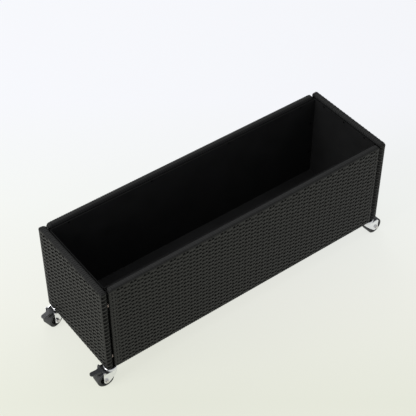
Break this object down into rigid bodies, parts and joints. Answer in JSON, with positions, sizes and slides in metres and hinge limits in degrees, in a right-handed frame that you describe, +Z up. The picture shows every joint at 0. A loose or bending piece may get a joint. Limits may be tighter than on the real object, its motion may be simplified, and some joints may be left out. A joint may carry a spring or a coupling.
{
  "type": "rolling planter",
  "caption": "Long rectangular planter with woven side panels on tube frames, smooth inner boards and a floor, rolling on swivel casters, two of them with brake pedals.",
  "frame": {"origin": "on the ground, midway between the furthest points of the casters in X and in the middle in Y", "axes": "+X along the planter's length, away from the braked end; -Y the front panel; +Z up"},
  "size_m": [1.0382, 0.3132, 0.361],
  "materials": {
    "frame": "satin black powder coat",
    "weave": "woven flat strands, dark charcoal",
    "board": "smooth, near black",
    "fork": "bright plated pressed steel",
    "zinc": "zinc plated",
    "hub": "moulded",
    "tyre": "dull dark grey tread",
    "pedal": "moulded, slight sheen"
  },
  "bodies": {
    "planter": {"end_frame_left": "frame", "end_frame_right": "frame", "long_frame_front": "frame", "long_frame_rear": "frame", "weave_left": "weave", "weave_right": "weave", "weave_front": "weave", "weave_rear": "weave", "rail_sleeves_front": "weave", "rail_sleeves_rear": "weave", "inner_board_left": "board", "inner_board_right": "board", "inner_board_front": "board", "inner_board_rear": "board", "floor_board": "board", "floor_bars": "frame", "floor_screws": "zinc", "board_screws": "frame", "panel_bolts": "zinc", "gap_spacers": "zinc", "rivet_nuts": "zinc", "caster_plates": "frame", "plate_screws": "zinc", "king_pin_front_left": "zinc", "race_cap_front_left": "fork", "race_balls_front_left": "zinc", "king_pin_rear_left": "zinc", "race_cap_rear_left": "fork", "race_balls_rear_left": "zinc", "king_pin_front_right": "zinc", "race_cap_front_right": "fork", "race_balls_front_right": "zinc", "king_pin_rear_right": "zinc", "race_cap_rear_right": "fork", "race_balls_rear_right": "zinc"},
    "fork_front_left": {"fork_front_left": "fork", "axle_front_left": "zinc", "axle_nut_front_left": "zinc", "pedal_pin_front_left": "zinc"},
    "wheel_front_left": {"hub_front_left": "hub", "tyre_front_left": "tyre"},
    "pedal_front_left": {"brake_pedal_front_left": "pedal"},
    "fork_rear_left": {"fork_rear_left": "fork", "axle_rear_left": "zinc", "axle_nut_rear_left": "zinc", "pedal_pin_rear_left": "zinc"},
    "wheel_rear_left": {"hub_rear_left": "hub", "tyre_rear_left": "tyre"},
    "pedal_rear_left": {"brake_pedal_rear_left": "pedal"},
    "fork_front_right": {"fork_front_right": "fork", "axle_front_right": "zinc", "axle_nut_front_right": "zinc"},
    "wheel_front_right": {"hub_front_right": "hub", "tyre_front_right": "tyre"},
    "fork_rear_right": {"fork_rear_right": "fork", "axle_rear_right": "zinc", "axle_nut_rear_right": "zinc"},
    "wheel_rear_right": {"hub_rear_right": "hub", "tyre_rear_right": "tyre"}
  },
  "joints": [
    {"name": "swivel_front_left", "type": "hinge", "parent": "planter", "child": "fork_front_left", "pos_m": [-0.45719, -0.1339, 0.055], "axis": [0, 0, 1], "continuous": true},
    {"name": "wheel_spin_front_left", "type": "hinge", "parent": "fork_front_left", "child": "wheel_front_left", "pos_m": [-0.47966, -0.13272, 0.025], "axis": [0.0523, 0.9986, 0], "continuous": true},
    {"name": "brake_front_left", "type": "hinge", "parent": "fork_front_left", "child": "pedal_front_left", "pos_m": [-0.48366, -0.13251, 0.054], "axis": [-0.0523, -0.9986, 0], "range_deg": [0, 11]},
    {"name": "swivel_rear_left", "type": "hinge", "parent": "planter", "child": "fork_rear_left", "pos_m": [-0.45719, 0.1339, 0.055], "axis": [0, 0, 1], "continuous": true},
    {"name": "wheel_spin_rear_left", "type": "hinge", "parent": "fork_rear_left", "child": "wheel_rear_left", "pos_m": [-0.47902, 0.12846, 0.025], "axis": [-0.2419, 0.9703, 0], "continuous": true},
    {"name": "brake_rear_left", "type": "hinge", "parent": "fork_rear_left", "child": "pedal_rear_left", "pos_m": [-0.4829, 0.12749, 0.054], "axis": [0.2419, -0.9703, 0], "range_deg": [0, 11]},
    {"name": "swivel_front_right", "type": "hinge", "parent": "planter", "child": "fork_front_right", "pos_m": [0.47101, -0.1339, 0.055], "axis": [0, 0, 1], "continuous": true},
    {"name": "wheel_spin_front_right", "type": "hinge", "parent": "fork_front_right", "child": "wheel_front_right", "pos_m": [0.49348, -0.13272, 0.025], "axis": [-0.0523, 0.9986, 0], "continuous": true},
    {"name": "swivel_rear_right", "type": "hinge", "parent": "planter", "child": "fork_rear_right", "pos_m": [0.47101, 0.1339, 0.055], "axis": [0, 0, 1], "continuous": true},
    {"name": "wheel_spin_rear_right", "type": "hinge", "parent": "fork_rear_right", "child": "wheel_rear_right", "pos_m": [0.49348, 0.13272, 0.025], "axis": [0.0523, 0.9986, 0], "continuous": true}
  ]
}
